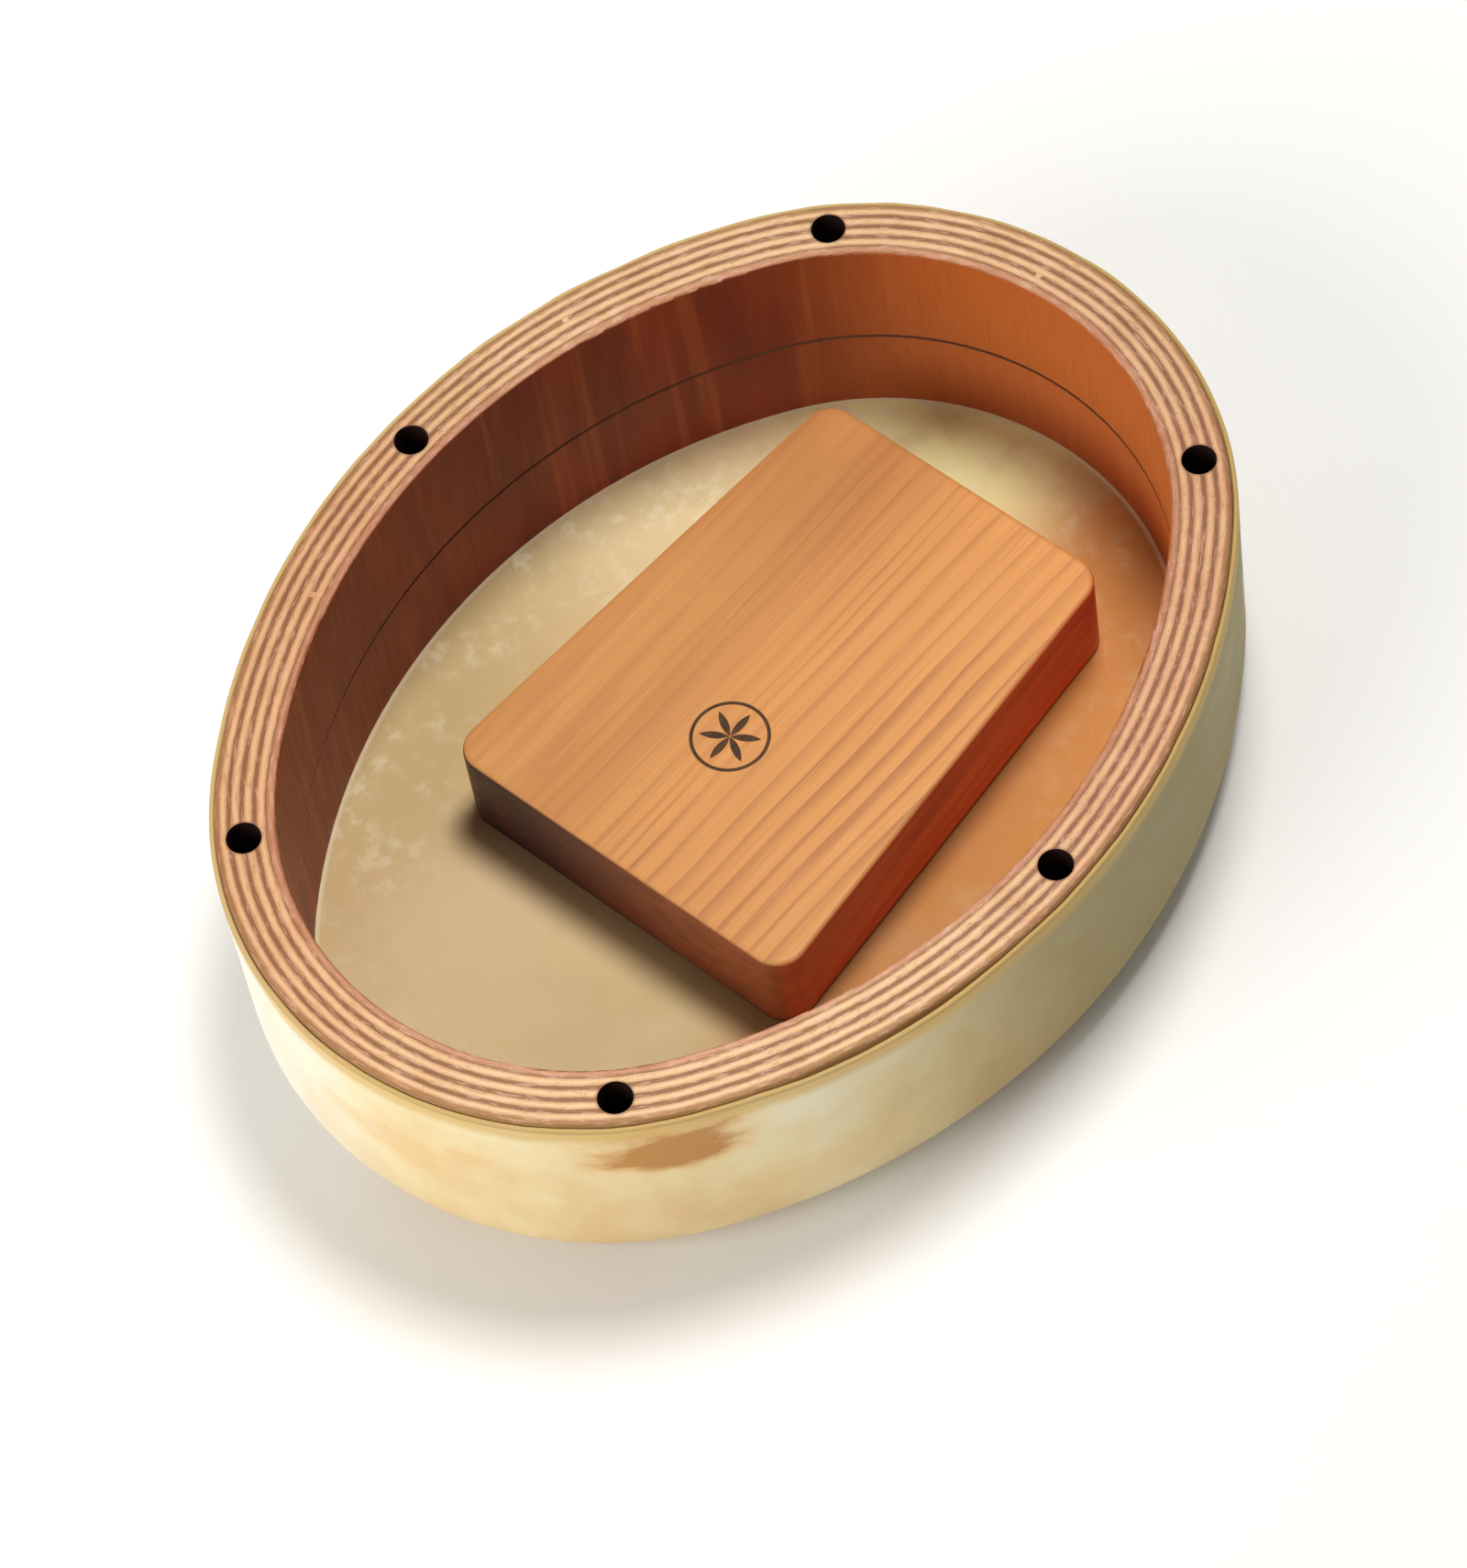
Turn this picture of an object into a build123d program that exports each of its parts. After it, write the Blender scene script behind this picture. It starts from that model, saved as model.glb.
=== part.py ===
from build123d import *
import math
import os

os.makedirs("parts", exist_ok=True)

# Driving dimensions, in millimetres. Z is up: the drum lies on its head, with its open back up.
LONG_HALF = 145.0      # half of the wooden hoop's long outer axis
SHORT_HALF = 112.5     # half of its short outer axis
END_RADIUS = 96.5      # radius of the oval's two end arcs
WALL = 15.4            # nine bent plies
HEIGHT = 68.0          # head's outer face to the back rim
SKIN = 1.5             # goatskin
JOINT_Z = 30.5         # middle of the parting gap between the tuning hoop and the frame hoop
JOINT_GAP = 1.2
BEARING_RADIUS = 11.0  # outer rounding the head is drawn over
EDGE = 0.9             # eased edges of the back rim
LAP_BELOW_RIM = 1.0    # where the glued lap of skin ends, under the back rim
LAP_EDGE = 0.6

HOLE_INSET = 7.2       # screw axes from the hoop's outer face
KEY_HOLE_R = 4.5
KEY_HOLE_DEPTH = 17.0
CORNER_X = 114.0       # the four screws round the ends; the other two are on the short axis
SEAT_R = 4.3           # press seat of the inserts
INSERT_LENGTH = 13.2
INSERT_FLANGE_R = 5.5
INSERT_FLANGE = 1.2
SCREW_R = 3.0          # M6, pitch 1 mm
SCREW_LENGTH = 20.0
SCREW_TIP_R = 2.2
SCREW_CLEARANCE = 0.05
SOCKET_ACROSS_FLATS = 3.0
SOCKET_DEPTH = 3.5
DISC_R = 5.0
DISC_THICK = 2.0
CUP_R = 3.4            # recess in the thrust disc that takes the screw's tip
CUP_DEPTH = 0.8

BLOCK_X = (-50.0, 91.0)     # its wide end and its narrow end
BLOCK_WIDTH = (111.5, 92.5)
BLOCK_THICK = 29.0
BLOCK_CORNER = 8.0
BLOCK_TOP_EDGE = 1.6
BLOCK_FOOT_EDGE = 0.8

GAP_LOW = JOINT_Z - JOINT_GAP / 2
GAP_HIGH = JOINT_Z + JOINT_GAP / 2
SIDE_RADIUS = (LONG_HALF**2 - 2 * LONG_HALF * END_RADIUS + SHORT_HALF**2) / (
    2 * (SHORT_HALF - END_RADIUS)
)
END_CENTRE = LONG_HALF - END_RADIUS
SIDE_CENTRE = SIDE_RADIUS - SHORT_HALF


def oval(offset):
    """The hoop's four-arc outline, moved outwards by offset."""
    turn = math.atan2(SIDE_CENTRE, END_CENTRE)
    r = END_RADIUS + offset
    x, y = END_CENTRE + r * math.cos(turn), r * math.sin(turn)
    a, b = LONG_HALF + offset, SHORT_HALF + offset
    return make_face(
        [
            ThreePointArc((x, -y), (a, 0), (x, y)),
            ThreePointArc((x, y), (0, b), (-x, y)),
            ThreePointArc((-x, y), (-a, 0), (-x, -y)),
            ThreePointArc((-x, -y), (0, -b), (x, -y)),
        ]
    )


def slab(offset, low, high):
    return Pos(0, 0, low) * extrude(oval(offset), high - low)


def level(shape, z):
    """The edges that lie at height z."""
    return shape.edges().filter_by_position(Axis.Z, z - 0.01, z + 0.01)


def on_the_hoop():
    """The six screw axes: two on the short axis and four round the ends."""
    side = SHORT_HALF - HOLE_INSET
    end = math.sqrt((END_RADIUS - HOLE_INSET) ** 2 - (CORNER_X - END_CENTRE) ** 2)
    return [
        (0.0, side),
        (-CORNER_X, end),
        (-CORNER_X, -end),
        (0.0, -side),
        (CORNER_X, -end),
        (CORNER_X, end),
    ]


def drilled(shape, radius, low, high):
    for x, y in on_the_hoop():
        shape -= Pos(x, y, (low + high) / 2) * Cylinder(radius, high - low)
    return shape


def frame_ring():
    hoop = slab(0, GAP_HIGH, HEIGHT) - slab(-WALL, GAP_HIGH - 1, HEIGHT + 1)
    hoop = fillet(level(hoop, HEIGHT), EDGE)
    hoop = drilled(hoop, KEY_HOLE_R, HEIGHT - KEY_HOLE_DEPTH, HEIGHT + 1)
    hoop = drilled(hoop, SEAT_R, GAP_HIGH - 1, HEIGHT - KEY_HOLE_DEPTH)
    return drilled(hoop, INSERT_FLANGE_R, GAP_HIGH - 1, GAP_HIGH + INSERT_FLANGE)


def under_the_head():
    """Everything the head is drawn over, as one solid: the tuning hoop with its middle filled in."""
    core = slab(0, SKIN, GAP_LOW)
    return fillet(level(core, SKIN), BEARING_RADIUS)


def tuning_ring():
    hoop = under_the_head() - slab(-WALL, 0, GAP_LOW + 1)
    return drilled(hoop, DISC_R, GAP_LOW - DISC_THICK, GAP_LOW + 1)


def head_skin():
    outside = slab(SKIN, 0, GAP_LOW)
    outside = fillet(level(outside, 0), BEARING_RADIUS + SKIN)
    return outside - under_the_head()


def skin_lap():
    top = HEIGHT - LAP_BELOW_RIM
    band = slab(SKIN, GAP_HIGH, top)
    band = fillet(level(band, top), LAP_EDGE)
    return band - slab(0, GAP_HIGH - 1, HEIGHT)


def sound_block():
    near, far = BLOCK_X
    wide, narrow = BLOCK_WIDTH[0] / 2, BLOCK_WIDTH[1] / 2
    outline = make_face(Polyline([(near, -wide), (far, -narrow), (far, narrow), (near, wide)], close=True))
    block = Pos(0, 0, SKIN) * extrude(outline, BLOCK_THICK)
    block = fillet(block.edges().filter_by(Axis.Z), BLOCK_CORNER)
    block = fillet(level(block, SKIN + BLOCK_THICK), BLOCK_TOP_EDGE)
    return fillet(level(block, SKIN), BLOCK_FOOT_EDGE)


def upright(profile, x, y):
    """A turned part from its half profile, given as (radius, height) points, standing at x, y."""
    face = Plane.XZ * make_face(Polyline(profile, close=True))
    return Pos(x, y, 0) * revolve(face, Axis.Z)


def insert(x, y):
    bore = SCREW_R + SCREW_CLEARANCE
    top = GAP_HIGH + INSERT_LENGTH
    step = GAP_HIGH + INSERT_FLANGE
    return upright(
        [
            (bore, GAP_HIGH),
            (INSERT_FLANGE_R, GAP_HIGH),
            (INSERT_FLANGE_R, step),
            (SEAT_R, step),
            (SEAT_R, top - 0.6),
            (SEAT_R - 0.6, top),
            (bore, top),
        ],
        x,
        y,
    )


def thrust_disc(x, y):
    low, cup = GAP_LOW - DISC_THICK, GAP_LOW - CUP_DEPTH
    return upright([(0, low), (DISC_R, low), (DISC_R, GAP_LOW), (CUP_R, GAP_LOW), (CUP_R, cup), (0, cup)], x, y)


def tuning_screw(x, y):
    tip = GAP_LOW - CUP_DEPTH
    top = tip + SCREW_LENGTH
    taper = SCREW_R - SCREW_TIP_R
    body = upright(
        [(0, tip), (SCREW_TIP_R, tip), (SCREW_R, tip + taper), (SCREW_R, top - 0.5), (SCREW_R - 0.5, top), (0, top)],
        x,
        y,
    )
    corner_radius = SOCKET_ACROSS_FLATS / math.sqrt(3)
    socket = extrude(RegularPolygon(corner_radius, 6), SOCKET_DEPTH + 1)
    return body - Pos(x, y, top - SOCKET_DEPTH) * socket


shapes = {
    "frame_ring": frame_ring(),
    "tuning_ring": tuning_ring(),
    "head_skin": head_skin(),
    "skin_lap": skin_lap(),
    "sound_block": sound_block(),
}
for number, (x, y) in enumerate(on_the_hoop(), start=1):
    shapes[f"insert_{number}"] = insert(x, y)
    shapes[f"thrust_disc_{number}"] = thrust_disc(x, y)
    shapes[f"tuning_screw_{number}"] = tuning_screw(x, y)

for name, shape in shapes.items():
    export_step(shape, f"parts/{name}.step")
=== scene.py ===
"""An oval frame drum: bent-ply hoops, a tunable goatskin head and a cherry sound block inside."""
import math

import bmesh
import bpy
from mathutils import Matrix, Vector, noise


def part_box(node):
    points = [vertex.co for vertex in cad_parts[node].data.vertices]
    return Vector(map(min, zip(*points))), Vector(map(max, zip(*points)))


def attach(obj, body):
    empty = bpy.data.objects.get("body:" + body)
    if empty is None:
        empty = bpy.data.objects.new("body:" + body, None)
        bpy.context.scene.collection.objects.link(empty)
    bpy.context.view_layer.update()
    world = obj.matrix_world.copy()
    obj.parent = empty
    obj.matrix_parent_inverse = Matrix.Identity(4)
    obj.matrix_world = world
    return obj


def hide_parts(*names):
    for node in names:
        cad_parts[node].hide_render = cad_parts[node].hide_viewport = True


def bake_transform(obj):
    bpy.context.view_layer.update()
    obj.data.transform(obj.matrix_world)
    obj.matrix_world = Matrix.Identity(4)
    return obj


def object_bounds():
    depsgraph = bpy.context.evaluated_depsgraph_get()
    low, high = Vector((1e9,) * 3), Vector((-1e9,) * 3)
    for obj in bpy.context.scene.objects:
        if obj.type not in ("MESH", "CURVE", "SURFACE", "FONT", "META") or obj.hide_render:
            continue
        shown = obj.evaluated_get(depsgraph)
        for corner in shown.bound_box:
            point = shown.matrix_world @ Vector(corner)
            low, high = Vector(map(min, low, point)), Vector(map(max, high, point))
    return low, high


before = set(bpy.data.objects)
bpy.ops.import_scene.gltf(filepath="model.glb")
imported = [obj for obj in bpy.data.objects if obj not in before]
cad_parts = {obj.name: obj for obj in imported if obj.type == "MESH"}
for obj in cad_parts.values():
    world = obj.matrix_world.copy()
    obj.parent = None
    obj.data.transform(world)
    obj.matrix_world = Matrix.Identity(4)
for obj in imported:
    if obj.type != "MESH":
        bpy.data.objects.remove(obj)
CAD_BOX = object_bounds()

# ---------------------------------------------------------------- sizes, in metres: x along the oval, z up
MM = 0.001
FRAME_LOW, FRAME_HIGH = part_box("frame_ring")
RING_LOW, RING_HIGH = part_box("tuning_ring")
BLOCK_LOW, BLOCK_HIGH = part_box("sound_block")
LAP_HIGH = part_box("skin_lap")[1]

LONG_HALF = FRAME_HIGH.x
SHORT_HALF = FRAME_HIGH.y
END_RADIUS = 96.5 * MM           # the oval's end arcs
WALL = 15.4 * MM                 # nine bent plies
BEARING_RADIUS = 11 * MM         # outer rounding of the tuning hoop, under the skin
TIGHTENED = 2 * MM               # the tuning hoop's travel from rest to its tightest
GAP_Z = (RING_HIGH.z + FRAME_LOW.z) / 2
SKIN = RING_LOW.z                # the goatskin's thickness
HEAD_Z = RING_LOW.z              # the head's inner face
KEY_HOLE_RADIUS = 4.5 * MM
SCREW_AXES = [(0, 105.3), (-114, 60.7), (-114, -60.7), (0, -105.3), (114, -60.7), (114, 60.7)]

SIDE_RADIUS = (LONG_HALF**2 - 2 * LONG_HALF * END_RADIUS + SHORT_HALF**2) / (2 * (SHORT_HALF - END_RADIUS))
END_CENTRE = LONG_HALF - END_RADIUS
SIDE_CENTRE = SIDE_RADIUS - SHORT_HALF
TURN = math.atan2(SIDE_CENTRE, END_CENTRE)
END_RUN = END_RADIUS * TURN
QUARTER = END_RUN + SIDE_RADIUS * (math.pi / 2 - TURN)


def on_oval(share, offset):
    """The point at a share, 0 to 1, of the way round the hoop's outer face, moved outwards by offset."""
    quarters = (share % 1) * 4
    quadrant = int(quarters) % 4
    run = (quarters - int(quarters)) * QUARTER
    if quadrant % 2:
        run = QUARTER - run
    if run < END_RUN:
        angle = run / END_RADIUS
        x = END_CENTRE + (END_RADIUS + offset) * math.cos(angle)
        y = (END_RADIUS + offset) * math.sin(angle)
    else:
        angle = TURN + (run - END_RUN) / SIDE_RADIUS
        x = (SIDE_RADIUS + offset) * math.cos(angle)
        y = (SIDE_RADIUS + offset) * math.sin(angle) - SIDE_CENTRE
    return (x if quadrant in (0, 3) else -x), (y if quadrant < 2 else -y)


def smooth(x, low, high):
    """0 below low, 1 above high, and a soft step between them."""
    t = min(max((x - low) / (high - low), 0), 1)
    return t * t * (3 - 2 * t)


# ---------------------------------------------------------------- shader maths
class Wire:
    """A shader socket that takes part in Python expressions: each operation adds its Math node."""

    def __init__(self, tree, socket):
        self.tree, self.socket = tree, socket

    def node(self, kind, settings=None, out=0, **sockets):
        """Adds a node: its settings, then values or links for its sockets, by name or as s0, s1 and so on."""
        made = self.tree.nodes.new(kind)
        settings = dict(settings or {})
        stops = settings.pop("stops", None)
        for name, value in settings.items():
            setattr(made, name, value)
        if stops:
            ramp = made.color_ramp.elements
            while len(ramp) > 1:
                ramp.remove(ramp[-1])
            for i, (place, colour) in enumerate(stops):
                stop = ramp[0] if i == 0 else ramp.new(place)
                stop.position = place
                stop.color = (*colour, 1)
        for name, value in sockets.items():
            key = int(name[1:]) if name[0] == "s" and name[1:].isdigit() else name.replace("_", " ")
            socket = made.inputs[key]
            if isinstance(value, (Wire, list)):
                for wire in value if isinstance(value, list) else [value]:
                    self.tree.links.new(wire.socket, socket)
            elif hasattr(socket.default_value, "__len__") and len(socket.default_value) == 4:
                socket.default_value = (*value, 1)
            else:
                socket.default_value = value
        return Wire(self.tree, made.outputs[out])

    def math(self, operation, *others):
        values = {f"s{i}": v for i, v in enumerate([self, *others])}
        return self.node("ShaderNodeMath", {"operation": operation}, **values)

    def __add__(self, other):
        return self.math("ADD", other)

    __radd__ = __add__

    def __sub__(self, other):
        return self.math("SUBTRACT", other)

    def __rsub__(self, other):
        return (self * -1) + other

    def __mul__(self, other):
        return self.math("MULTIPLY", other)

    __rmul__ = __mul__

    def __truediv__(self, other):
        return self.math("DIVIDE", other)

    def __pow__(self, other):
        return self.math("POWER", other)

    def __gt__(self, other):
        return self.math("GREATER_THAN", other)

    def __lt__(self, other):
        return self.math("LESS_THAN", other)

    def __abs__(self):
        return self.math("ABSOLUTE")

    def step(self, low, high, start=0.0, end=1.0):
        """A soft step, from start at low to end at high."""
        return self.node(
            "ShaderNodeMapRange",
            {"interpolation_type": "SMOOTHSTEP"},
            Value=self,
            From_Min=low,
            From_Max=high,
            To_Min=start,
            To_Max=end,
        )

    def split(self):
        apart = self.node("ShaderNodeSeparateXYZ", s0=self)
        sockets = apart.socket.node.outputs
        return [Wire(self.tree, s) for s in sockets]

    def vector(self, x, y, z):
        return self.node("ShaderNodeCombineXYZ", X=x, Y=y, Z=z)

    def mix(self, a, b, mode="MIX"):
        """Colour a turning to colour b as this value goes from 0 to 1."""
        settings = {"data_type": "RGBA", "blend_type": mode, "clamp_factor": True}
        return self.node("ShaderNodeMix", settings, out=2, s0=self, s6=a, s7=b)

    def ramp(self, *stops):
        return self.node("ShaderNodeValToRGB", {"stops": stops}, s0=self)

    def noise(self, vector, scale, detail=3.0, roughness=0.5):
        return self.node("ShaderNodeTexNoise", Vector=vector, Scale=scale, Detail=detail, Roughness=roughness)


def finish(name, **fixed):
    """A new material with its fixed shader values set, with wires for place and facing, and its shader."""
    made = bpy.data.materials.new(name)
    made.use_nodes = True
    shader = made.node_tree.nodes["Principled BSDF"]
    for socket, value in fixed.items():
        shader.inputs[socket.replace("_", " ")].default_value = value
    coordinates = made.node_tree.nodes.new("ShaderNodeTexCoord")
    place = Wire(made.node_tree, coordinates.outputs["Object"])
    facing = Wire(made.node_tree, coordinates.outputs["Normal"])
    return made, place, facing, shader


def plug(shader, wire, socket):
    wire.tree.links.new(wire.socket, shader.inputs[socket])


def bump(shader, height, strength, distance):
    made = height.node("ShaderNodeBump", Height=height, Strength=strength, Distance=distance)
    plug(shader, made, "Normal")


def around(place):
    """Wires for a point: x, y, z, depth under the hoop's outer face, and its direction from the middle."""
    x, y, z = place.split()
    across, along = abs(y), abs(x)
    from_end = ((along - END_CENTRE) ** 2 + y**2) ** 0.5
    from_side = (x**2 + (across + SIDE_CENTRE) ** 2) ** 0.5
    at_end = ((along - END_CENTRE) * SIDE_CENTRE - across * END_CENTRE) > 0
    side_depth = SIDE_RADIUS - from_side
    depth = side_depth + (END_RADIUS - from_end - side_depth) * at_end
    out = (x**2 + y**2) ** 0.5
    return x, y, z, depth, x / out, y / out


# ---------------------------------------------------------------- materials
PLY_JOINTS = [(3.1, 10.3), (-8.9, 5.5), (-176.7, 6.0), (118, 10.3), (62, 7.0)]   # degrees round, mm deep
WALL_STAINS = [                         # where, half its length and height, all in mm, and how strong it is
    ((-112, -74.5, 53), 20, 11, 0.80),
    ((-146, -10, 39), 17, 11, 0.32),
    ((-141, -32, 46), 7, 4, 0.30),
    ((-80, -97, 22), 24, 9, 0.25),
    ((60, 103, 44), 26, 10, 0.50),
    ((128, 60, 30), 20, 9, 0.40),
    ((118, -66, 28), 22, 10, 0.35),
]
ROSETTE_AT = (-4, 0)                                # mm, on the block's top
ROSETTE_RADIUS = 8.2 * MM


def ply_joint(x, y, depth, degrees, joint_depth):
    """1 on the joint between two lengths of veneer, at a direction and a depth in the rim."""
    turn = math.radians(degrees)
    aside = abs(x * math.sin(turn) - y * math.cos(turn)).step(0.5 * MM, 1.1 * MM, 1.0, 0.0)
    level = abs(depth - joint_depth * MM).step(0.5 * MM, 0.9 * MM, 1.0, 0.0)
    return aside * level * ((x * math.cos(turn) + y * math.sin(turn)) > 0)


def bent_ply(name):
    """Nine veneers on edge at the rim, and the red-brown face of the innermost one on the inner wall."""
    made, place, facing, shader = finish(name, Specular_IOR_Level=0.35)
    x, y, z, depth, east, north = around(place)
    direction = place.vector(east, north, 0.0)
    wander = place.noise(direction, 3.2, 2.0) - 0.5
    fine_wander = place.noise(direction, 60.0, 3.0, 0.6) - 0.5
    ply = (depth + wander * (0.8 * MM) + fine_wander * (0.3 * MM)) / WALL
    tan, cream, glow = (0.42, 0.21, 0.08), (0.70, 0.41, 0.20), (0.90, 0.60, 0.33)
    line, rosy = (0.30, 0.135, 0.050), (0.60, 0.29, 0.155)
    bands = ply.ramp(
        (0.00, (0.28, 0.15, 0.055)), (0.035, tan), (0.085, tan),
        (0.115, cream), (0.155, glow), (0.195, cream),
        (0.222, line), (0.278, line), (0.306, cream), (0.352, glow), (0.398, cream),
        (0.427, line), (0.486, line), (0.515, cream), (0.565, glow), (0.612, cream),
        (0.640, line), (0.694, line), (0.722, cream), (0.772, glow), (0.820, cream),
        (0.846, line), (0.872, (0.44, 0.21, 0.10)), (0.900, rosy), (0.965, rosy), (1.0, (0.46, 0.17, 0.08)),
    )
    butt = sum(ply_joint(x, y, depth, *joint) for joint in PLY_JOINTS)
    long_fibre = place.noise(place.vector(east * 26, north * 26, depth * 1500), 1.0, 4.0, 0.65)
    tone = place.noise(direction, 9.0, 3.0, 0.6)
    pores = place.noise(place.vector(east * 120, north * 120, depth * 900), 1.0, 2.0, 0.7)
    edge_grain = butt.mix(bands, (0.80, 0.50, 0.27))
    edge_grain = (long_fibre.step(0.50, 0.66) * 0.5).mix(edge_grain, (0.88, 0.56, 0.40))
    edge_grain = (long_fibre.step(0.46, 0.32) * 0.45).mix(edge_grain, (0.36, 0.17, 0.07))
    edge_grain = (tone.step(0.42, 0.66) * 0.35).mix(edge_grain, (0.84, 0.70, 0.62), "MULTIPLY")
    edge_grain = (pores.step(0.60, 0.72) * 0.35).mix(edge_grain, (0.28, 0.13, 0.06))
    # Painted shade, not the wood's own: it stays on the rim whichever way the light comes.
    dark_side = abs(north * 0.77 - east * 0.64).step(0.35, 1.0)
    edge_grain = (dark_side * 0.85).mix(edge_grain, (0.82, 0.68, 0.62), "MULTIPLY")
    # Painted shade: the rim is also a little darker on its far side.
    far_rim_shade = (east * 0.69 + north * 0.51).step(-0.3, 0.8)
    edge_grain = far_rim_shade.mix(edge_grain, (0.90, 0.90, 0.90), "MULTIPLY")
    side_hole, end_hole = SCREW_AXES[0], SCREW_AXES[-1]
    to_middle_hole = (x**2 + (abs(y) - side_hole[1] * MM) ** 2) ** 0.5
    to_end_hole = ((abs(x) - end_hole[0] * MM) ** 2 + (abs(y) - end_hole[1] * MM) ** 2) ** 0.5
    to_hole = to_middle_hole.math("MINIMUM", to_end_hole) + fine_wander * (0.8 * MM)
    rim_of_hole = to_hole.step(KEY_HOLE_RADIUS + 0.15 * MM, KEY_HOLE_RADIUS + 0.7 * MM, 1.0, 0.0)
    edge_grain = (rim_of_hole * 0.55).mix(edge_grain, (0.22, 0.09, 0.04))

    veneer = place.noise(place.vector(east * 6, north * 6, z * 11), 1.0, 4.0, 0.55)
    flecks = place.noise(place.vector(east * 150, north * 150, z * 60), 1.0, 3.0, 0.6)
    figure = place.noise(place.vector(east * 22, north * 22, z * 8), 1.0, 3.0, 0.5)
    # Painted light: the wall's far end is orange and its foot there is darker, under any lamp.
    sunny = (east * 0.96 - north * 0.28).step(0.58, 0.99)
    deep, mid, light = (0.160, 0.021, 0.009), (0.225, 0.035, 0.011), (0.31, 0.055, 0.015)
    face = veneer.ramp((0.30, deep), (0.50, mid), (0.72, light))
    face = (sunny * 0.84).mix(face, (0.74, 0.195, 0.030))
    face = (z.step(50 * MM, 6 * MM) * sunny).mix(face, (0.74, 0.64, 0.85), "MULTIPLY")
    face = (figure.step(0.52, 0.70) * 0.25).mix(face, (0.60, 0.17, 0.05))
    face = (flecks.step(0.55, 0.72) * 0.22).mix(face, (0.20, 0.04, 0.018))
    face = (depth < WALL / 2).mix(face, veneer.ramp((0.3, (0.40, 0.22, 0.09)), (0.7, (0.54, 0.33, 0.15))))
    # Painted shade: the walls of the key holes' bores are coloured near black.
    bore = to_hole.step(KEY_HOLE_RADIUS + 0.2 * MM, KEY_HOLE_RADIUS + 1.2 * MM, 1.0, 0.0)
    face = bore.mix(face, (0.025, 0.010, 0.007))
    # Painted shade along the parting between the two hoops.
    parting_shade = abs(z - GAP_Z).step(0.9 * MM, 1.6 * MM, 1.0, 0.0)
    edge_grain = (parting_shade * 0.8).mix(edge_grain, (0.16, 0.060, 0.030))
    upright = abs(facing.split()[2]).step(0.30, 0.62)
    plug(shader, upright.mix(face, edge_grain), "Base Color")
    plug(shader, flecks.step(0.3, 0.8, 0.46, 0.62), "Roughness")
    relief = upright * (long_fibre * 0.6 + pores * 0.4) + (1 - upright) * (flecks * 0.3)
    bump(shader, relief, 0.4, 0.25 * MM)
    return made


def stains(x, y, z, ragged):
    """How much of a stain there is at a place on the skin's wall: soft brown patches with ragged ends."""
    patches = []
    for (at_x, at_y, at_z), half_long, half_tall, strength in WALL_STAINS:
        along = (((x - at_x * MM) ** 2 + (y - at_y * MM) ** 2) ** 0.5) / (half_long * MM)
        up = (z - at_z * MM) / (half_tall * MM)
        reach = (along**2 + up**2) ** 0.5 + ragged
        patches.append(reach.step(1.35, 0.45) * strength)
    strongest = patches[0]
    for patch in patches[1:]:
        strongest = strongest.math("MAXIMUM", patch)
    return strongest


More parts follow.
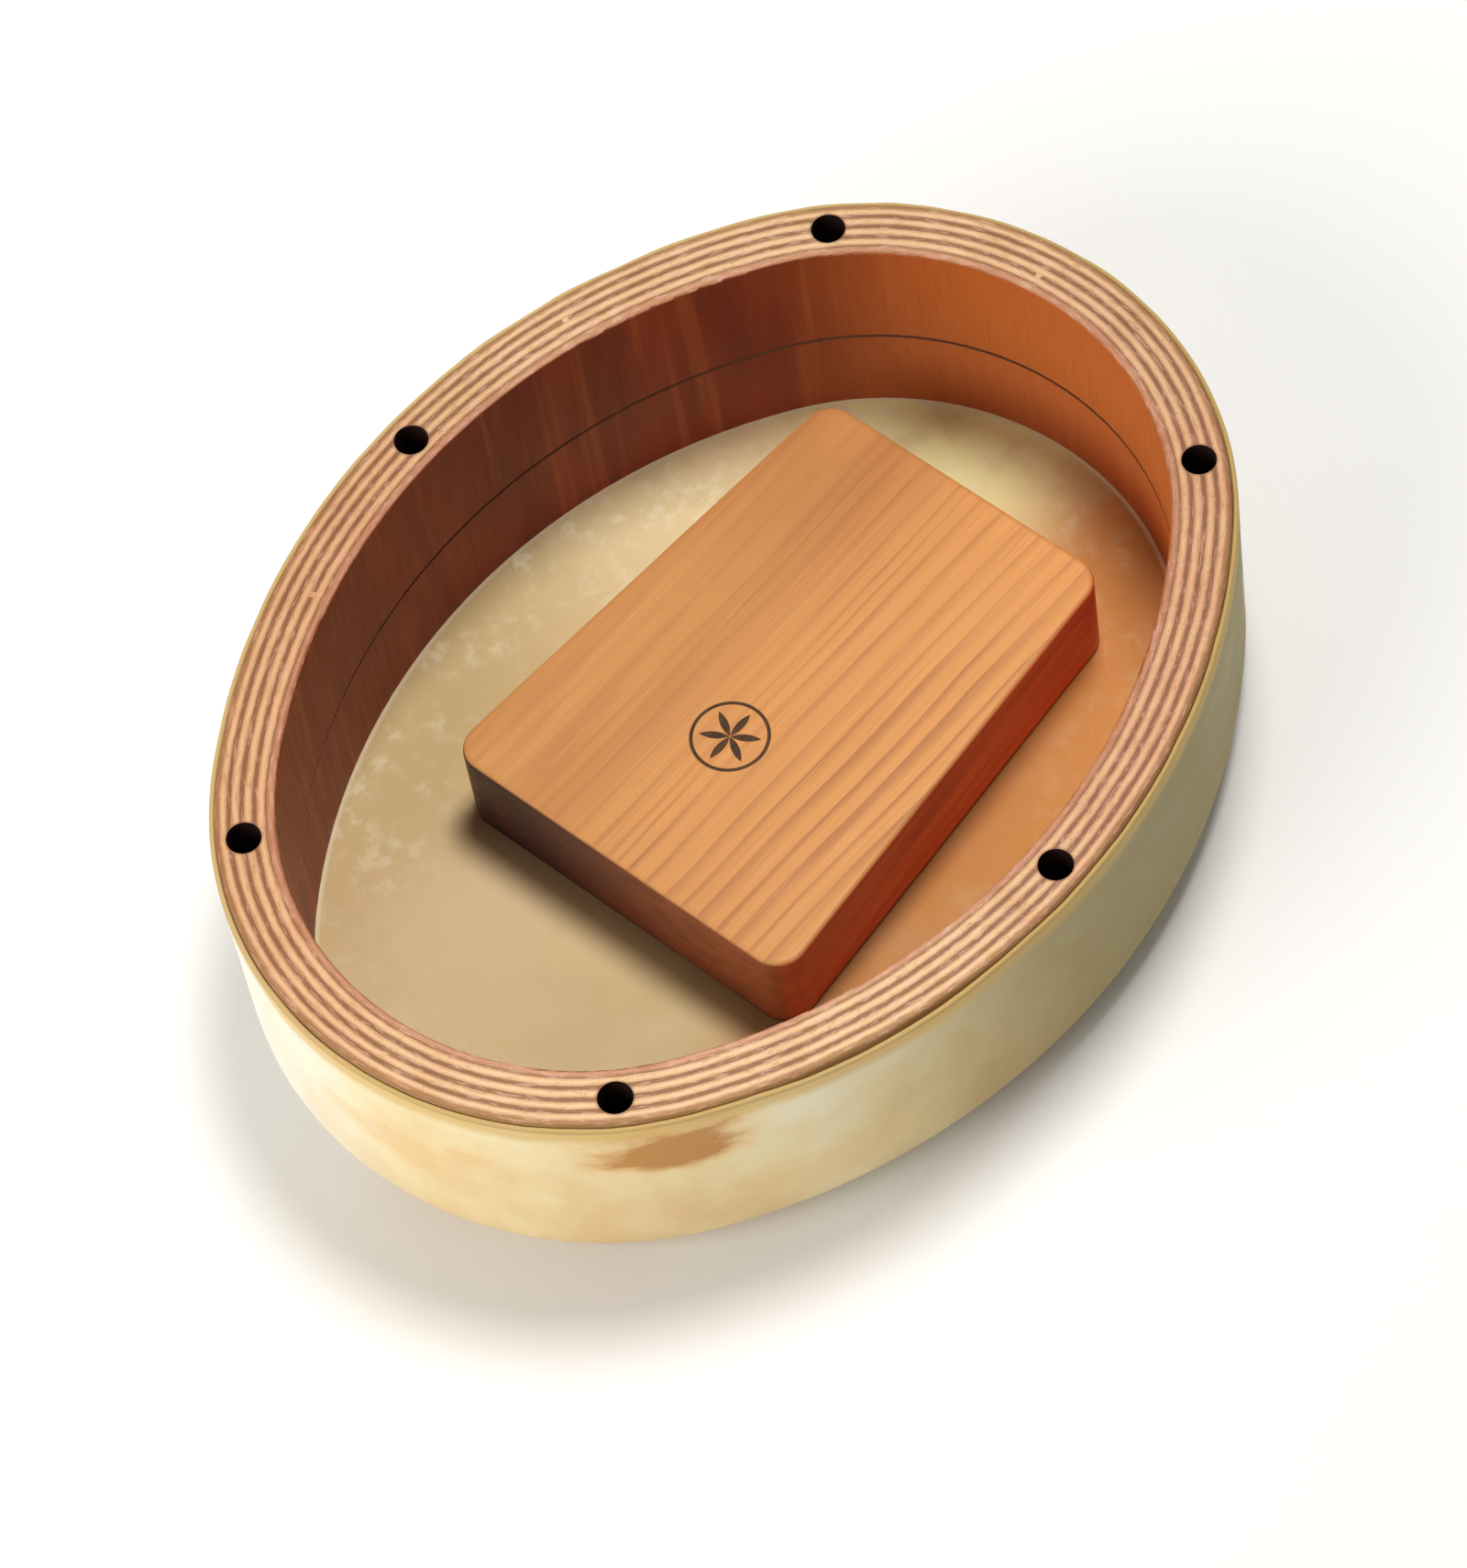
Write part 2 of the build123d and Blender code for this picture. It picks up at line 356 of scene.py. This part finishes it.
def goatskin():
    """Parchment: cloudy, with pale flecks towards the wall, brown stains, and glue-yellow at its lap."""
    made, place, _, shader = finish("goatskin", Specular_IOR_Level=0.3, Subsurface_Weight=0.10)
    shader.inputs["Subsurface Scale"].default_value = 0.003
    shader.inputs["Subsurface Radius"].default_value = (1.0, 0.6, 0.3)
    x, y, z, depth, east, north = around(place)
    cloud = place.noise(place, 11.0, 4.0, 0.55)
    patch = place.noise(place, 38.0, 5.0, 0.62)
    grain = place.noise(place, 420.0, 4.0, 0.6)
    wisps = place.noise(place.vector(x * 26, y * 26, z * 95), 1.0, 5.0, 0.62)
    # Painted light and shade: darker down one side of the drum, and paler on another.
    right_side = (east * 0.64 - north * 0.77).step(0.05, 0.95)
    near_wall = depth.step(WALL + 52 * MM, WALL + 4 * MM)

    pale, straw, warm = (0.94, 0.86, 0.63), (0.90, 0.73, 0.41), (0.81, 0.57, 0.28)
    wall_skin = (cloud * 0.6 + patch * 0.4).ramp((0.36, warm), (0.50, straw), (0.62, pale))
    wall_skin = right_side.mix(wall_skin, (0.38, 0.365, 0.235), "MULTIPLY")
    # Painted light: a paler patch on the lit side of the skin's wall.
    pale_side = (north * 0.54 - east * 0.84).step(0.76, 0.97) * cloud.step(0.30, 0.55, 0.45, 0.85)
    wall_skin = pale_side.mix(wall_skin, (0.98, 0.96, 0.87))
    ragged = (wisps - 0.5) * 1.7 + (patch - 0.5) * 1.0
    stained = stains(x, y, z, ragged)
    stain = stained.ramp((0.15, (0.90, 0.57, 0.23)), (0.75, (0.56, 0.27, 0.075)))
    wall_skin = (stained * 1.35).mix(wall_skin, stain)
    drift = wisps.step(0.55, 0.72) * cloud.step(0.44, 0.62)
    wall_skin = (drift * 0.30).mix(wall_skin, (0.60, 0.38, 0.16))
    band = (z + (patch - 0.5) * (7 * MM)).step(LAP_HIGH.z - 7.5 * MM, LAP_HIGH.z - 3 * MM)
    wall_skin = (band * 0.70).mix(wall_skin, (0.70, 0.45, 0.12))
    cut_edge = z.step(LAP_HIGH.z - 1.3 * MM, LAP_HIGH.z - 0.7 * MM)
    wall_skin = (cut_edge * 0.70).mix(wall_skin, (0.50, 0.33, 0.12))

    olive, buff, rosy = (0.64, 0.49, 0.24), (0.76, 0.57, 0.30), (0.80, 0.58, 0.33)
    head_skin = cloud.ramp((0.34, olive), (0.50, buff), (0.64, rosy))
    far_side = (x * 0.35 + y * 0.94).step(-10 * MM, 70 * MM)
    head_skin = (far_side * 0.55).mix(head_skin, (0.84, 0.71, 0.41))
    # Painted light and shade on the head: a warm cast by the block's red side, a lighter far end, a greyer
    # side, and a shadow along one face of the block.
    tan_side = (x * 0.25 - y).step(12 * MM, 58 * MM)
    head_skin = (tan_side * 0.95).mix(head_skin, (0.60, 0.25, 0.055))
    far_end = x.step(80 * MM, 114 * MM) * y.step(-28 * MM, 18 * MM)
    head_skin = (far_end * 0.9).mix(head_skin, (0.99, 0.93, 0.44))
    grey_side = y.step(35 * MM, 70 * MM) * x.step(55 * MM, -10 * MM)
    head_skin = grey_side.mix(head_skin, (0.83, 0.77, 0.65), "MULTIPLY")
    block_middle = (BLOCK_LOW.y + BLOCK_HIGH.y) / 2
    beside_block = abs(y - block_middle).step(BLOCK_HIGH.y + 4 * MM, BLOCK_HIGH.y - 6 * MM)
    by_block = x.step(BLOCK_LOW.x - 13 * MM, BLOCK_LOW.x) * x.step(BLOCK_HIGH.x, BLOCK_LOW.x) * beside_block
    head_skin = (by_block * 0.9).mix(head_skin, (0.42, 0.36, 0.30), "MULTIPLY")
    fleck = place.noise(place, 240.0, 3.0, 0.6)
    fleck_size = place.noise(place, 60.0, 2.0, 0.5)
    flecks = fleck.step(0.44, 0.68) * fleck_size.step(0.40, 0.66) * near_wall * (far_side * 0.8 + 0.2)
    head_skin = (flecks * 0.60).mix(head_skin, (0.95, 0.88, 0.64))
    mottle = patch.step(0.50, 0.36) * near_wall
    head_skin = (mottle * 0.40).mix(head_skin, (0.60, 0.47, 0.23))
    glue_line = depth.step(WALL + 1.6 * MM, WALL + 0.5 * MM)
    head_skin = (glue_line * 0.6).mix(head_skin, (0.90, 0.79, 0.52))

    inner = depth.step(BEARING_RADIUS * 0.9, BEARING_RADIUS * 1.3) * (z > HEAD_Z * 0.6)
    plug(shader, inner.mix(wall_skin, head_skin), "Base Color")
    plug(shader, patch.step(0.3, 0.7, 0.52, 0.70), "Roughness")
    bump(shader, grain * 0.45 + patch * 0.55, 0.30, 0.3 * MM)
    return made


def rosette(x, y):
    """1 on a small burnt rosette: six petals between arcs, inside a thin ring."""
    across, up = x - ROSETTE_AT[0] * MM, y - ROSETTE_AT[1] * MM
    radius = (across**2 + up**2) ** 0.5
    sixth = math.pi / 3
    angle = up.math("ARCTAN2", across)
    folded = abs(angle - (angle / sixth).math("ROUND") * sixth)
    tip_way, side_way = radius * folded.math("COSINE"), radius * folded.math("SINE")
    from_arc = (
        (tip_way - ROSETTE_RADIUS * math.cos(sixth)) ** 2 + (side_way + ROSETTE_RADIUS * math.sin(sixth)) ** 2
    ) ** 0.5
    petal = from_arc.step(ROSETTE_RADIUS * 1.01, ROSETTE_RADIUS * 0.98)
    ring = abs(radius - ROSETTE_RADIUS * 1.22).step(0.35 * MM, 0.6 * MM, 1.0, 0.0)
    return petal.math("MAXIMUM", ring)


def cherry():
    """Oiled cherry with straight growth lines along the block, dark end grain and a burnt rosette, with
    painted light and shade on its top, sides, ends, edges and foot.
    """
    made, place, facing, shader = finish(
        "oiled_cherry", Specular_IOR_Level=0.35, Coat_Roughness=0.35, Coat_Weight=0.05
    )
    x, y, z = place.split()
    warp = place.noise(place.vector(x * 9, y * 24, z * 24), 1.0, 3.0, 0.5) - 0.5
    across = (y + warp * (6 * MM) + (z - BLOCK_HIGH.z) * 0.35 + x * 0.015) / (1 * MM)
    spacing = across.node("ShaderNodeTexNoise", {"noise_dimensions": "1D"}, W=across, Scale=0.055, Detail=2.0)
    year = (across / 5.4 + spacing * 2.6).math("FRACT")
    late_wood = (year.step(0.35, 0.95) ** 1.7) * year.step(1.0, 0.965)
    strong = place.noise(place.vector(x * 12, y * 50, z * 50), 1.0, 2.0, 0.5)
    toward_side = y.step(34 * MM, -12 * MM)
    line = late_wood * (strong.step(0.30, 0.62) * 0.6 + 0.4) * (toward_side * 0.72 + 0.28)
    fibre = place.noise(place.vector(x * 30, y * 1300, z * 1300), 1.0, 4.0, 0.62)
    flame = place.noise(place.vector(x * 14, y * 95, z * 95), 1.0, 3.0, 0.55)
    tone = place.noise(place.vector(x * 5, y * 38, z * 38), 1.0, 2.0, 0.5)
    wood = tone.ramp((0.32, (0.50, 0.195, 0.045)), (0.50, (0.57, 0.238, 0.056)), (0.68, (0.64, 0.286, 0.074)))
    wood = (flame.step(0.50, 0.68) * 0.35).mix(wood, (0.47, 0.175, 0.048))
    wood = (toward_side * 0.6).mix(wood, (0.74, 0.320, 0.082))
    wood = (line * 0.66).mix(wood, (0.34, 0.105, 0.026))
    wood = (fibre.step(0.50, 0.70) * 0.20).mix(wood, (0.42, 0.16, 0.05))
    wood = (fibre.step(0.46, 0.30) * 0.15).mix(wood, (0.82, 0.44, 0.16))

    # Painted shade on one corner of the block's top.
    far_corner = x.step(15 * MM, 80 * MM) * y.step(-22 * MM, 26 * MM)
    wood = (far_corner * 0.85).mix(wood, (0.80, 0.71, 0.60), "MULTIPLY")

    nx, ny, nz = facing.split()
    # Painted shade and painted reflection: the block's long sides are coloured darker and redder than its
    # top, though they are the same wood.
    side_face = place.noise(place.vector(x * 16, y * 60, z * 180), 1.0, 3.0, 0.5)
    dark_red, red, light_red = (0.57, 0.080, 0.033), (0.74, 0.134, 0.050), (0.82, 0.18, 0.07)
    side = side_face.ramp((0.35, dark_red), (0.55, red), (0.70, light_red))
    ends = place.noise(place.vector(x * 60, y * 90, z * 240), 1.0, 3.0, 0.55)
    # Painted shade: the block's ends darken towards one side.
    dusk = (y + (ends - 0.5) * (30 * MM)).step(-46 * MM, 40 * MM)
    end = dusk.mix((0.44, 0.125, 0.046), (0.050, 0.024, 0.030))
    end = (ends.step(0.45, 0.62) * 0.35).mix(end, (0.20, 0.055, 0.025))
    end_share = (abs(nx) - abs(ny)).step(-0.35, 0.35)
    wood = abs(nz).step(0.75, 0.40).mix(wood, end_share.mix(side, end))
    # Painted highlight: the rounded edges round the top are lighter.
    edge_highlight = nz.step(0.30, 0.60) * nz.step(0.995, 0.93)
    wood = (edge_highlight * 0.35).mix(wood, (0.74, 0.38, 0.15))
    # Painted shadow: the block darkens at its foot, where it stands on the skin.
    foot = z.step(SKIN + 2.2 * MM, SKIN + 0.4 * MM)
    wood = (foot * 0.6).mix(wood, (0.06, 0.025, 0.018))

    burnt = rosette(x, y) * (nz > 0.9)
    scorch = burnt * (fibre.step(0.2, 0.7, 1.0, 0.86))
    wood = scorch.mix(wood, (0.012, 0.007, 0.006))
    plug(shader, wood, "Base Color")
    plug(shader, fibre.step(0.3, 0.7, 0.42, 0.56) + burnt * 0.35, "Roughness")
    bump(shader, fibre * 0.35 + line * 0.1 - burnt * 0.9, 0.30, 0.25 * MM)
    return made


def turned_metal(name, colour, dull, roughness):
    """Machined metal: fine turning lines round the axis and a little tarnish."""
    made, place, _, shader = finish(name, Metallic=1.0)
    x, y, z = place.split()
    turning = place.noise(place.vector(x, y, z * 60), 90.0, 3.0)
    tarnish = place.noise(place, 260.0, 4.0, 0.6)
    plug(shader, tarnish.step(0.45, 0.7).mix(colour, dull), "Base Color")
    plug(shader, tarnish.step(0.3, 0.7, roughness, roughness + 0.2), "Roughness")
    bump(shader, turning, 0.2, 0.05 * MM)
    return made


def dress(piece, material):
    piece.data.materials.clear()
    piece.data.materials.append(material)


# ---------------------------------------------------------------- the goatskin, one piece from lap to middle
AROUND = 360
SKIN_LIFT_FROM, SKIN_LIFT_TO = 0.625, 0.72      # share of the way round where the lap has come away a little
LAP_TRIM = 0.5 * MM                             # how unevenly the lap's edge is cut
LAP_STANDS_OFF = 0.7 * MM
CLEAR = 0.1 * MM                                # between the skin and the hoops it can slide over
IN_STEPS, BEND_STEPS, WALL_STEPS, EDGE_STEPS = 34, 14, 18, 6    # rows in each stretch of the skin's section
COCKLE = 0.12 * MM                              # how far the dry skin's wall ripples


def skin_profile():
    """The skin's section, from the middle of its outer face round the bearing edge, over the lap and back.

    Each row is (offset from the wood, height, share of the way in to the middle).
    """
    rows = []
    outer_radius = BEARING_RADIUS + SKIN
    for i in range(IN_STEPS):
        rows.append((-BEARING_RADIUS, 0.0, 1 - i / IN_STEPS))
    for i in range(BEND_STEPS + 1):
        angle = math.pi / 2 * i / BEND_STEPS
        offset = -BEARING_RADIUS + outer_radius * math.sin(angle)
        rows.append((offset, outer_radius * (1 - math.cos(angle)), 0.0))
    top = LAP_HIGH.z - SKIN / 2
    for i in range(1, WALL_STEPS + 1):
        rows.append((SKIN, outer_radius + (top - outer_radius) * i / WALL_STEPS, 0.0))
    middle = (SKIN + CLEAR) / 2
    half = (SKIN - CLEAR) / 2
    for i in range(1, EDGE_STEPS):
        angle = math.pi * i / EDGE_STEPS
        rows.append((middle + half * math.cos(angle), top + half * math.sin(angle), 0.0))
    for i in range(WALL_STEPS + 1):
        rows.append((CLEAR, top - (top - outer_radius) * i / WALL_STEPS, 0.0))
    for i in range(1, BEND_STEPS + 1):
        angle = math.pi / 2 * (1 - i / BEND_STEPS)
        bend = BEARING_RADIUS + CLEAR * math.sin(angle)
        offset = -BEARING_RADIUS + bend * math.sin(angle)
        rows.append((offset, outer_radius - BEARING_RADIUS * math.cos(angle), 0.0))
    for i in range(1, IN_STEPS + 1):
        rows.append((-BEARING_RADIUS, SKIN, i / IN_STEPS))
    return rows


def goatskin_head():
    """The skin as one closed shell of rings."""
    rows = skin_profile()
    points = []
    for offset, height, inward in rows[1:-1]:
        for k in range(AROUND):
            share = k / AROUND
            x, y = on_oval(share, offset)
            x, y = x * (1 - inward), y * (1 - inward)
            up = smooth(height, GAP_Z + 8 * MM, LAP_HIGH.z)
            direction = Vector(on_oval(share, 0.0)).to_3d().normalized()
            lap = noise.noise(direction * 9) * LAP_TRIM + noise.noise(direction * 31) * LAP_TRIM * 0.4
            lift = smooth(share, SKIN_LIFT_FROM, SKIN_LIFT_FROM + 0.03)
            lift *= 1 - smooth(share, SKIN_LIFT_TO - 0.03, SKIN_LIFT_TO)
            out = LAP_STANDS_OFF * lift * up**3
            if offset > CLEAR * 2 and inward == 0:
                on_wall = 1 - smooth(offset, -1 * MM, -8 * MM)
                out += noise.noise(Vector((x, y, height)) * 55) * COCKLE * on_wall
            points.append((x + direction.x * out, y + direction.y * out, height + lap * up**2))
    faces = []
    for row in range(len(rows) - 3):
        for k in range(AROUND):
            a, b = row * AROUND + k, row * AROUND + (k + 1) % AROUND
            faces.append((a, b, b + AROUND, a + AROUND))
    bottom, top = len(points), len(points) + 1
    points += [(0, 0, 0), (0, 0, SKIN)]
    last = (len(rows) - 3) * AROUND
    for k in range(AROUND):
        faces.append((bottom, (k + 1) % AROUND, k))
        faces.append((top, last + k, last + (k + 1) % AROUND))
    mesh = bpy.data.meshes.new("goatskin_head")
    mesh.from_pydata(points, [], faces)
    mesh.update()
    mesh.shade_smooth()
    piece = bpy.data.objects.new("goatskin_head", mesh)
    bpy.context.scene.collection.objects.link(piece)
    return piece


# ---------------------------------------------------------------- threaded screws and inserts
ROUND = 48                                      # points round a turned piece
SCREW_PITCH, SCREW_ROOT, SCREW_CREST = 1.0 * MM, 2.40 * MM, 2.99 * MM
SCREW_TIP = 2.2 * MM
SOCKET_HALF_FLAT = 1.5 * MM
SOCKET_DEEP = 3.5 * MM
INSERT_PITCH, INSERT_CREST = 2.5 * MM, 5.0 * MM
INSERT_BODY, INSERT_BORE, INSERT_FLANGE = 4.28 * MM, 3.05 * MM, 5.5 * MM
INSERT_FLANGE_THICK = 1.2 * MM
POINT_BEVEL = 0.3 * MM                          # at the screw's point
TOP_BEVEL = 0.5 * MM                            # at the top of a screw or an insert
SOCKET_MOUTH = SOCKET_HALF_FLAT * 1.22
THREAD_STARTS_ABOVE = 0.5 * MM                  # the screw's point
THREAD_ENDS_BELOW = 0.9 * MM                    # the screw's top
SOCKET_CONE = 0.5 * MM
INSERT_BEVEL = 0.4 * MM
SHARP_FROM = math.radians(35)


def hexagon(half_flat):
    """A radius that goes round as a hexagon."""
    return lambda angle: half_flat / math.cos((angle + math.pi / 6) % (math.pi / 3) - math.pi / 6)


def turned(name, axis, rows, tube=False):
    """A closed turned shape. Each row is (radius, height); it ends in a point at both ends, or is a tube."""
    points, faces = [], []
    for radius, height in rows:
        for k in range(ROUND):
            angle = math.tau * k / ROUND
            r = radius(angle) if callable(radius) else radius
            points.append((axis[0] + r * math.cos(angle), axis[1] + r * math.sin(angle), height))
    for row in range(len(rows) if tube else len(rows) - 1):
        above = (row + 1) % len(rows)
        for k in range(ROUND):
            beside = (k + 1) % ROUND
            faces.append((row * ROUND + k, row * ROUND + beside, above * ROUND + beside, above * ROUND + k))
    if not tube:
        faces.append(tuple(reversed(range(ROUND))))
        faces.append(tuple(range((len(rows) - 1) * ROUND, len(rows) * ROUND)))
    mesh = bpy.data.meshes.new(name)
    mesh.from_pydata(points, [], faces)
    piece = bpy.data.objects.new(name, mesh)
    bpy.context.scene.collection.objects.link(piece)
    return piece


def thread_tree():
    """A ridge wound up an axis as a right-hand thread, joined to the core it is cut on."""
    tree = bpy.data.node_groups.new("thread_on_core", "GeometryNodeTree")
    tree.interface.new_socket("Core", in_out="INPUT", socket_type="NodeSocketGeometry")
    for label, kind in [
        ("Foot", "NodeSocketVector"),
        ("Turns", "NodeSocketFloat"),
        ("Pitch", "NodeSocketFloat"),
        ("Root Radius", "NodeSocketFloat"),
        ("Depth", "NodeSocketFloat"),
        ("Finish", "NodeSocketMaterial"),
    ]:
        tree.interface.new_socket(label, in_out="INPUT", socket_type=kind)
    tree.interface.new_socket("Threaded", in_out="OUTPUT", socket_type="NodeSocketGeometry")
    given = {s.name: Wire(tree, s) for s in tree.nodes.new("NodeGroupInput").outputs if s.name}
    pitch, root, deep = given["Pitch"], given["Root Radius"], given["Depth"]
    helix = pitch.node(
        "GeometryNodeCurveSpiral",
        Resolution=32,
        Rotations=given["Turns"],
        Start_Radius=root,
        End_Radius=root,
        Height=given["Turns"] * pitch,
        Reverse=True,
    )
    upright = helix.node("GeometryNodeSetCurveNormal", {"mode": "Z_UP"}, Curve=helix)
    buried = root * -0.04
    ridge = helix.node(
        "GeometryNodeCurvePrimitiveQuadrilateral",
        {"mode": "POINTS"},
        Point_1=pitch.vector(buried, pitch * -0.46, 0.0),
        Point_2=pitch.vector(deep, pitch * -0.07, 0.0),
        Point_3=pitch.vector(deep, pitch * 0.07, 0.0),
        Point_4=pitch.vector(buried, pitch * 0.46, 0.0),
    )
    along = helix.node("GeometryNodeSplineParameter")
    swell = along.step(0.0, 0.05, 0.25, 1.0) * along.step(1.0, 0.95, 0.25, 1.0)
    sweep = {"Curve": upright, "Profile_Curve": ridge, "Scale": swell, "Fill_Caps": True}
    wound = helix.node("GeometryNodeCurveToMesh", **sweep)
    placed = helix.node("GeometryNodeTransform", Geometry=wound, Translation=given["Foot"])
    joined = helix.node("GeometryNodeJoinGeometry", Geometry=[given["Core"], placed])
    solid = helix.node("GeometryNodeRealizeInstances", Geometry=joined)
    dressed = helix.node("GeometryNodeSetMaterial", Geometry=solid, Material=given["Finish"])
    tree.links.new(dressed.socket, tree.nodes.new("NodeGroupOutput").inputs["Threaded"])
    return tree


def wind_thread(core, tree, **sizes):
    """Runs the thread tree on a turned core and keeps the result as its plain mesh."""
    modifier = core.modifiers.new("thread", "NODES")
    modifier.node_group = tree
    for item in tree.interface.items_tree:
        if item.in_out == "INPUT" and item.name.replace(" ", "_") in sizes:
            modifier[item.identifier] = sizes[item.name.replace(" ", "_")]
    ready = core.evaluated_get(bpy.context.evaluated_depsgraph_get())
    threaded = bpy.data.meshes.new_from_object(ready)
    core.modifiers.clear()
    shell = bmesh.new()
    shell.from_mesh(threaded)
    bmesh.ops.remove_doubles(shell, verts=shell.verts, dist=1e-6)
    bmesh.ops.recalc_face_normals(shell, faces=shell.faces)
    for face in shell.faces:
        face.material_index = 0
    shell.to_mesh(threaded)
    shell.free()
    core.data = threaded
    dress(core, sizes["Finish"])
    threaded.shade_smooth()
    threaded.set_sharp_from_angle(angle=SHARP_FROM)
    return core


def tuning_screw(number, tree, steel):
    """An M6 grub screw: a blunt dog point below, a hexagon socket for the key above."""
    low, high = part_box(f"tuning_screw_{number}")
    axis = ((low.x + high.x) / 2, (low.y + high.y) / 2)
    chamfer = SCREW_CREST - SCREW_TIP
    rows = [
        (SCREW_TIP - POINT_BEVEL, low.z),
        (SCREW_TIP, low.z + POINT_BEVEL),
        (SCREW_TIP, low.z + chamfer),
        (SCREW_ROOT, low.z + chamfer + POINT_BEVEL),
        (SCREW_ROOT, high.z - TOP_BEVEL),
        (SCREW_ROOT - TOP_BEVEL / 2, high.z),
        (SOCKET_MOUTH, high.z),
        (hexagon(SOCKET_HALF_FLAT), high.z - TOP_BEVEL / 2),
        (hexagon(SOCKET_HALF_FLAT), high.z - SOCKET_DEEP),
        (hexagon(SOCKET_HALF_FLAT * 0.3), high.z - SOCKET_DEEP - SOCKET_CONE),
    ]
    core = turned(f"grub_screw_{number}", axis, rows)
    start = low.z + chamfer + THREAD_STARTS_ABOVE
    turns = (high.z - THREAD_ENDS_BELOW - start) / SCREW_PITCH
    return wind_thread(
        core,
        tree,
        Foot=(*axis, start),
        Turns=turns,
        Pitch=SCREW_PITCH,
        Root_Radius=SCREW_ROOT,
        Depth=SCREW_CREST - SCREW_ROOT,
        Finish=steel,
    )


def threaded_insert(number, tree, brass):
    """A flanged brass insert, with the coarse thread outside that holds it in the wood."""
    low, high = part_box(f"insert_{number}")
    axis = ((low.x + high.x) / 2, (low.y + high.y) / 2)
    shoulder = low.z + INSERT_FLANGE_THICK
    rows = [
        (INSERT_BORE + INSERT_BEVEL, low.z),
        (INSERT_FLANGE - INSERT_BEVEL / 2, low.z),
        (INSERT_FLANGE, low.z + INSERT_BEVEL / 2),
        (INSERT_FLANGE, shoulder),
        (INSERT_BODY, shoulder),
        (INSERT_BODY, high.z - TOP_BEVEL),
        (INSERT_BODY - INSERT_BEVEL, high.z),
        (INSERT_BORE + INSERT_BEVEL, high.z),
        (INSERT_BORE, high.z - INSERT_BEVEL),
        (INSERT_BORE, low.z + INSERT_BEVEL),
    ]
    core = turned(f"brass_insert_{number}", axis, rows, tube=True)
    start = shoulder + INSERT_PITCH / 2
    return wind_thread(
        core,
        tree,
        Foot=(*axis, start),
        Turns=(high.z - INSERT_PITCH / 2 - start) / INSERT_PITCH,
        Pitch=INSERT_PITCH,
        Root_Radius=INSERT_BODY,
        Depth=INSERT_CREST - INSERT_BODY,
        Finish=brass,
    )


# ---------------------------------------------------------------- build
ply = bent_ply("bent_ply")
dress(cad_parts["frame_ring"], ply)
dress(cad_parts["tuning_ring"], ply)
dress(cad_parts["sound_block"], cherry())
brass = turned_metal("insert_brass", (0.72, 0.50, 0.20), (0.45, 0.30, 0.13), 0.3)
steel = turned_metal("blackened_steel", (0.16, 0.16, 0.17), (0.08, 0.075, 0.07), 0.38)
thread = thread_tree()
for number in range(1, len(SCREW_AXES) + 1):
    dress(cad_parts[f"thrust_disc_{number}"], steel)
    screw = tuning_screw(number, thread, steel)
    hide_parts(f"tuning_screw_{number}")
    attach(screw, f"screw_{number}")
    insert = threaded_insert(number, thread, brass)
    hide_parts(f"insert_{number}")
    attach(insert, "frame")

skin = goatskin_head()
dress(skin, goatskin())
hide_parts("head_skin", "skin_lap")
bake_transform(skin)


# ---------------------------------------------------------------- floor, light and camera
CAMERA_AT = Vector((-609.7, -694.4, 1506.0)) * MM
CAMERA_LOOKS_AT = Vector((-15.7, -11.4, 34.0)) * MM
CAMERA_ROLL = math.radians(-10.63)
LENS = 157.3
FLOOR_HALF = 6.0                                # metres, from the middle to each side
FLOOR_GAP = 0.2 * MM                            # under the head when it is at its tightest
FLOOR_WHITE = (0.93, 0.93, 0.93, 1)
WORLD_WHITE = (1, 0.99, 0.97, 1)
WORLD_STRENGTH = 0.24
LIGHTS = [                                      # name, place and size in metres, watts, colour
    ("overhead", (0.50, 0.10, 1.70), 0.60, 22, (1, 0.985, 0.96)),
    ("low_window", (-1.5, 0.25, 0.92), 1.3, 18, (1, 0.97, 0.92)),
]
LIGHTS_AIM = (0, 0, 0.03)


def pale_floor():
    mesh = bpy.data.meshes.new("floor")
    corners = [(-FLOOR_HALF, -FLOOR_HALF, 0), (FLOOR_HALF, -FLOOR_HALF, 0)]
    corners += [(FLOOR_HALF, FLOOR_HALF, 0), (-FLOOR_HALF, FLOOR_HALF, 0)]
    mesh.from_pydata(corners, [], [(0, 1, 2, 3)])
    floor = bpy.data.objects.new("floor", mesh)
    bpy.context.scene.collection.objects.link(floor)
    floor.location.z = CAD_BOX[0][2] - TIGHTENED - FLOOR_GAP
    dress(floor, finish("pale_floor", Roughness=0.9, Specular_IOR_Level=0.1, Base_Color=FLOOR_WHITE)[0])


def softbox(name, at, size, watts, colour):
    light = bpy.data.lights.new(name, "AREA")
    light.shape = "DISK"
    light.size = size
    light.energy = watts
    light.color = colour
    made = bpy.data.objects.new(name, light)
    bpy.context.scene.collection.objects.link(made)
    made.location = at
    made.rotation_euler = (Vector(LIGHTS_AIM) - Vector(at)).to_track_quat("-Z", "Y").to_euler()


def camera():
    lens = bpy.data.cameras.new("camera")
    lens.lens = LENS
    made = bpy.data.objects.new("camera", lens)
    bpy.context.scene.collection.objects.link(made)
    view = (CAMERA_LOOKS_AT - CAMERA_AT).to_track_quat("-Z", "Y").to_matrix().to_4x4()
    made.matrix_world = Matrix.Translation(CAMERA_AT) @ view @ Matrix.Rotation(CAMERA_ROLL, 4, "Z")
    bpy.context.scene.camera = made


def studio():
    world = bpy.data.worlds.new("studio")
    world.use_nodes = True
    world.node_tree.nodes["Background"].inputs["Color"].default_value = WORLD_WHITE
    world.node_tree.nodes["Background"].inputs["Strength"].default_value = WORLD_STRENGTH
    bpy.context.scene.world = world
    for light in LIGHTS:
        softbox(*light)


pale_floor()
studio()
camera()
bpy.context.scene.view_settings.view_transform = "Standard"
